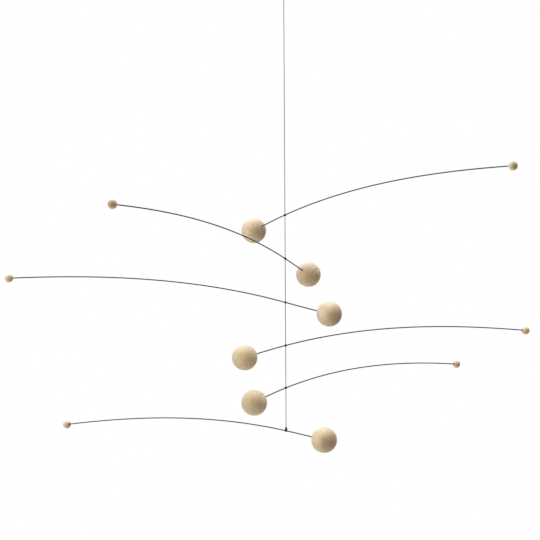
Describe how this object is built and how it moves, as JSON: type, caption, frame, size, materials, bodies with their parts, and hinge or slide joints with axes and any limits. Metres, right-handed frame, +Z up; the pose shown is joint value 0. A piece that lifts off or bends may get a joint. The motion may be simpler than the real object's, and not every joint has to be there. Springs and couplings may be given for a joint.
{
  "type": "hanging mobile",
  "caption": "Hanging mobile: bowed steel wire arms, each with a large and a small beech ball, tied one below the other on one thread, all turning freely.",
  "frame": {"origin": "inside of the top of the thread's loop, where a hook carries the mobile", "axes": "+Z up along the hanging thread; +X and +Y level, with the arms spread widest along X"},
  "size_m": [0.5373, 0.4364, 0.4749],
  "materials": {
    "beech": "satin",
    "wire": "satin",
    "thread": "matte",
    "tie": "matte"
  },
  "bodies": {
    "hanging_thread": {"loop_knot": "thread", "thread_to_arm_1": "thread", "thread_to_arm_2": "thread", "thread_to_arm_3": "thread", "thread_to_arm_4": "thread", "thread_to_arm_5": "thread", "thread_to_arm_6": "thread"},
    "arm_1": {"arm_1_wire": "wire", "arm_1_large_ball": "beech", "arm_1_small_ball": "beech", "arm_1_tie": "tie"},
    "arm_2": {"arm_2_wire": "wire", "arm_2_large_ball": "beech", "arm_2_small_ball": "beech", "arm_2_tie": "tie"},
    "arm_3": {"arm_3_wire": "wire", "arm_3_large_ball": "beech", "arm_3_small_ball": "beech", "arm_3_tie": "tie"},
    "arm_4": {"arm_4_wire": "wire", "arm_4_large_ball": "beech", "arm_4_small_ball": "beech", "arm_4_tie": "tie"},
    "arm_5": {"arm_5_wire": "wire", "arm_5_large_ball": "beech", "arm_5_small_ball": "beech", "arm_5_tie": "tie"},
    "arm_6": {"arm_6_wire": "wire", "arm_6_large_ball": "beech", "arm_6_small_ball": "beech", "arm_6_tie": "tie"}
  },
  "joints": [
    {"name": "arm_1_swivel", "type": "hinge", "parent": "hanging_thread", "child": "arm_1", "pos_m": [0, 0, -0.24], "axis": [0, 0, 1], "continuous": true},
    {"name": "arm_2_swivel", "type": "hinge", "parent": "hanging_thread", "child": "arm_2", "pos_m": [0, 0, -0.2835], "axis": [0, 0, 1], "continuous": true},
    {"name": "arm_3_swivel", "type": "hinge", "parent": "hanging_thread", "child": "arm_3", "pos_m": [0, 0, -0.327], "axis": [0, 0, 1], "continuous": true},
    {"name": "arm_4_swivel", "type": "hinge", "parent": "hanging_thread", "child": "arm_4", "pos_m": [0, 0, -0.3696], "axis": [0, 0, 1], "continuous": true},
    {"name": "arm_5_swivel", "type": "hinge", "parent": "hanging_thread", "child": "arm_5", "pos_m": [0, 0, -0.4113], "axis": [0, 0, 1], "continuous": true},
    {"name": "arm_6_swivel", "type": "hinge", "parent": "hanging_thread", "child": "arm_6", "pos_m": [0, 0, -0.4534], "axis": [0, 0, 1], "continuous": true}
  ]
}
